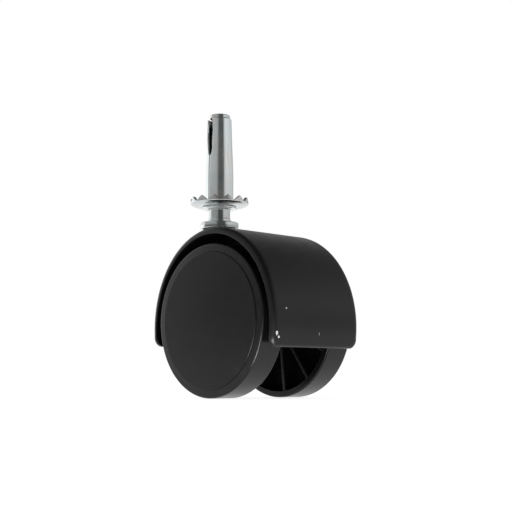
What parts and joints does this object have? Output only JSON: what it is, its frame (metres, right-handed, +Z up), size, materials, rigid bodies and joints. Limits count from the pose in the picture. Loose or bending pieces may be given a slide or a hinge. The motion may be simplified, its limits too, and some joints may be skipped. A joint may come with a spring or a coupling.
{
  "type": "chair caster wheel",
  "caption": "Hooded twin-wheel furniture caster: black nylon wheels and hood on a swivelling grip-neck stem with a toothed, slotted socket for a wooden leg.",
  "frame": {"origin": "on the swivel axis, in the plane of the toothed collar's upper floor where the end of the chair leg sits", "axes": "+Z up along the stem and the swivel axis, +Y along the wheels' axle, +X from the swivel axis towards the axle, so the wheels trail on the +X side"},
  "size_m": [0.0594, 0.0422, 0.0994],
  "materials": {
    "hood_nylon": "satin moulded black nylon with a faint grain",
    "wheel_nylon": "satin moulded black nylon, tread slightly scuffed",
    "cover_nylon": "satin moulded black nylon, fine grain",
    "zinc_plate": "bright zinc-plated steel with fine drawing lines",
    "axle_steel": "drawn bright steel",
    "spring_steel": "dark oiled spring steel",
    "bush_steel": "plain rolled steel"
  },
  "bodies": {
    "socket": {"socket_sleeve": "zinc_plate", "toothed_collar": "zinc_plate"},
    "stem": {"stem_pin": "zinc_plate", "stem_snap_ring": "spring_steel"},
    "hood": {"housing": "hood_nylon", "swivel_bush": "bush_steel", "axle": "axle_steel", "hub_washer_left": "bush_steel", "hub_washer_right": "bush_steel", "axle_clip_left": "spring_steel", "axle_clip_right": "spring_steel"},
    "left_wheel": {"wheel_left": "wheel_nylon", "wheel_cover_left": "cover_nylon"},
    "right_wheel": {"wheel_right": "wheel_nylon", "wheel_cover_right": "cover_nylon"}
  },
  "joints": [
    {"name": "stem_turn", "type": "hinge", "parent": "socket", "child": "stem", "pos_m": [0, 0, 0], "axis": [0, 0, 1], "continuous": true},
    {"name": "swivel", "type": "hinge", "parent": "stem", "child": "hood", "pos_m": [0, 0, -0.02], "axis": [0, 0, 1], "continuous": true},
    {"name": "left_wheel_roll", "type": "hinge", "parent": "hood", "child": "left_wheel", "pos_m": [0.018, -0.0157, -0.0424], "axis": [0, 1, 0], "continuous": true},
    {"name": "right_wheel_roll", "type": "hinge", "parent": "hood", "child": "right_wheel", "pos_m": [0.018, 0.0157, -0.0424], "axis": [0, 1, 0], "continuous": true}
  ]
}
